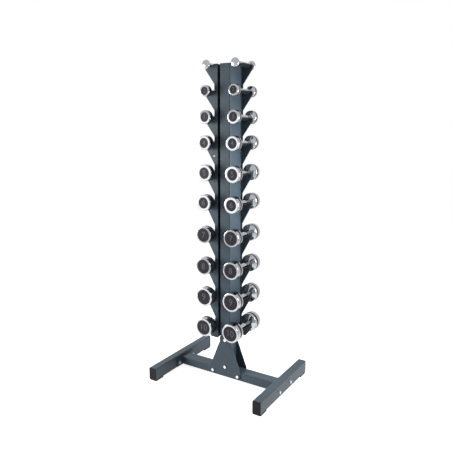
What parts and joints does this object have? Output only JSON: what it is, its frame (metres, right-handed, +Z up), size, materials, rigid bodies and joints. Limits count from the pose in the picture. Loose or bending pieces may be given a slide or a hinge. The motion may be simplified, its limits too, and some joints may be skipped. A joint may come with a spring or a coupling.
{
  "type": "dumbbell rack",
  "caption": "Free-standing tower rack: a post on an H-shaped base with finned strips whose bent trays carry pairs of chromed dumbbells that lift out sideways.",
  "frame": {"origin": "on the floor, under the middle of the post", "axes": "+X along the cross tube, +Y along the feet and the dumbbells, away from the picture's viewer, +Z up"},
  "size_m": [0.776, 0.589, 1.8612],
  "materials": {
    "slate_paint": "satin slate-grey powder coat",
    "black_coat": "black vinyl dip, satin",
    "black_plastic": "moulded, fine grain",
    "zinc": "bright zinc plate",
    "chrome_steel": "polished chrome plate",
    "black_rubber": "moulded, satin"
  },
  "bodies": {
    "rack": {"left_foot": "slate_paint", "right_foot": "slate_paint", "foot_end_plugs": "black_plastic", "foot_pads": "black_plastic", "cross_tube": "slate_paint", "cross_tube_end_plates": "slate_paint", "front_gusset": "slate_paint", "rear_gusset": "slate_paint", "centre_post": "slate_paint", "post_top_cap": "black_plastic", "left_strip": "slate_paint", "right_strip": "slate_paint", "strip_spacers": "zinc", "left_upper_trays": "black_coat", "left_lower_trays": "black_coat", "right_upper_trays": "black_coat", "right_lower_trays": "black_coat", "foot_bolts": "zinc", "gusset_bolts": "zinc", "strip_bolts": "zinc", "lock_nuts": "zinc"},
    "dumbbell_01kg_left": {"dumbbell_01kg_left": "chrome_steel"},
    "dumbbell_01kg_right": {"dumbbell_01kg_right": "chrome_steel"},
    "dumbbell_02kg_left": {"dumbbell_02kg_left": "chrome_steel", "dumbbell_02kg_left_rubber": "black_rubber"},
    "dumbbell_02kg_right": {"dumbbell_02kg_right": "chrome_steel", "dumbbell_02kg_right_rubber": "black_rubber"},
    "dumbbell_03kg_left": {"dumbbell_03kg_left": "chrome_steel", "dumbbell_03kg_left_rubber": "black_rubber"},
    "dumbbell_03kg_right": {"dumbbell_03kg_right": "chrome_steel", "dumbbell_03kg_right_rubber": "black_rubber"},
    "dumbbell_04kg_left": {"dumbbell_04kg_left": "chrome_steel", "dumbbell_04kg_left_rubber": "black_rubber"},
    "dumbbell_04kg_right": {"dumbbell_04kg_right": "chrome_steel", "dumbbell_04kg_right_rubber": "black_rubber"},
    "dumbbell_05kg_left": {"dumbbell_05kg_left": "chrome_steel", "dumbbell_05kg_left_rubber": "black_rubber"},
    "dumbbell_05kg_right": {"dumbbell_05kg_right": "chrome_steel", "dumbbell_05kg_right_rubber": "black_rubber"},
    "dumbbell_06kg_left": {"dumbbell_06kg_left": "chrome_steel", "dumbbell_06kg_left_rubber": "black_rubber"},
    "dumbbell_06kg_right": {"dumbbell_06kg_right": "chrome_steel", "dumbbell_06kg_right_rubber": "black_rubber"},
    "dumbbell_07kg_left": {"dumbbell_07kg_left": "chrome_steel", "dumbbell_07kg_left_rubber": "black_rubber"},
    "dumbbell_07kg_right": {"dumbbell_07kg_right": "chrome_steel", "dumbbell_07kg_right_rubber": "black_rubber"},
    "dumbbell_08kg_left": {"dumbbell_08kg_left": "chrome_steel", "dumbbell_08kg_left_rubber": "black_rubber"},
    "dumbbell_08kg_right": {"dumbbell_08kg_right": "chrome_steel", "dumbbell_08kg_right_rubber": "black_rubber"},
    "dumbbell_09kg_left": {"dumbbell_09kg_left": "chrome_steel", "dumbbell_09kg_left_rubber": "black_rubber"},
    "dumbbell_09kg_right": {"dumbbell_09kg_right": "chrome_steel", "dumbbell_09kg_right_rubber": "black_rubber"},
    "dumbbell_10kg_left": {"dumbbell_10kg_left": "chrome_steel", "dumbbell_10kg_left_rubber": "black_rubber"},
    "dumbbell_10kg_right": {"dumbbell_10kg_right": "chrome_steel", "dumbbell_10kg_right_rubber": "black_rubber"}
  },
  "joints": [
    {"name": "lift_01kg_left", "type": "slide", "parent": "rack", "child": "dumbbell_01kg_left", "axis": [-0.7071, 0, 0.7071], "range_m": [0, 0.25]},
    {"name": "lift_01kg_right", "type": "slide", "parent": "rack", "child": "dumbbell_01kg_right", "axis": [0.7071, 0, 0.7071], "range_m": [0, 0.25]},
    {"name": "lift_02kg_left", "type": "slide", "parent": "rack", "child": "dumbbell_02kg_left", "axis": [-0.7071, 0, 0.7071], "range_m": [0, 0.25]},
    {"name": "lift_02kg_right", "type": "slide", "parent": "rack", "child": "dumbbell_02kg_right", "axis": [0.7071, 0, 0.7071], "range_m": [0, 0.25]},
    {"name": "lift_03kg_left", "type": "slide", "parent": "rack", "child": "dumbbell_03kg_left", "axis": [-0.7071, 0, 0.7071], "range_m": [0, 0.25]},
    {"name": "lift_03kg_right", "type": "slide", "parent": "rack", "child": "dumbbell_03kg_right", "axis": [0.7071, 0, 0.7071], "range_m": [0, 0.25]},
    {"name": "lift_04kg_left", "type": "slide", "parent": "rack", "child": "dumbbell_04kg_left", "axis": [-0.7071, 0, 0.7071], "range_m": [0, 0.25]},
    {"name": "lift_04kg_right", "type": "slide", "parent": "rack", "child": "dumbbell_04kg_right", "axis": [0.7071, 0, 0.7071], "range_m": [0, 0.25]},
    {"name": "lift_05kg_left", "type": "slide", "parent": "rack", "child": "dumbbell_05kg_left", "axis": [-0.7071, 0, 0.7071], "range_m": [0, 0.25]},
    {"name": "lift_05kg_right", "type": "slide", "parent": "rack", "child": "dumbbell_05kg_right", "axis": [0.7071, 0, 0.7071], "range_m": [0, 0.25]},
    {"name": "lift_06kg_left", "type": "slide", "parent": "rack", "child": "dumbbell_06kg_left", "axis": [-0.7071, 0, 0.7071], "range_m": [0, 0.25]},
    {"name": "lift_06kg_right", "type": "slide", "parent": "rack", "child": "dumbbell_06kg_right", "axis": [0.7071, 0, 0.7071], "range_m": [0, 0.25]},
    {"name": "lift_07kg_left", "type": "slide", "parent": "rack", "child": "dumbbell_07kg_left", "axis": [-0.7071, 0, 0.7071], "range_m": [0, 0.25]},
    {"name": "lift_07kg_right", "type": "slide", "parent": "rack", "child": "dumbbell_07kg_right", "axis": [0.7071, 0, 0.7071], "range_m": [0, 0.25]},
    {"name": "lift_08kg_left", "type": "slide", "parent": "rack", "child": "dumbbell_08kg_left", "axis": [-0.7071, 0, 0.7071], "range_m": [0, 0.25]},
    {"name": "lift_08kg_right", "type": "slide", "parent": "rack", "child": "dumbbell_08kg_right", "axis": [0.7071, 0, 0.7071], "range_m": [0, 0.25]},
    {"name": "lift_09kg_left", "type": "slide", "parent": "rack", "child": "dumbbell_09kg_left", "axis": [-0.7071, 0, 0.7071], "range_m": [0, 0.25]},
    {"name": "lift_09kg_right", "type": "slide", "parent": "rack", "child": "dumbbell_09kg_right", "axis": [0.7071, 0, 0.7071], "range_m": [0, 0.25]},
    {"name": "lift_10kg_left", "type": "slide", "parent": "rack", "child": "dumbbell_10kg_left", "axis": [-0.7071, 0, 0.7071], "range_m": [0, 0.25]},
    {"name": "lift_10kg_right", "type": "slide", "parent": "rack", "child": "dumbbell_10kg_right", "axis": [0.7071, 0, 0.7071], "range_m": [0, 0.25]}
  ]
}
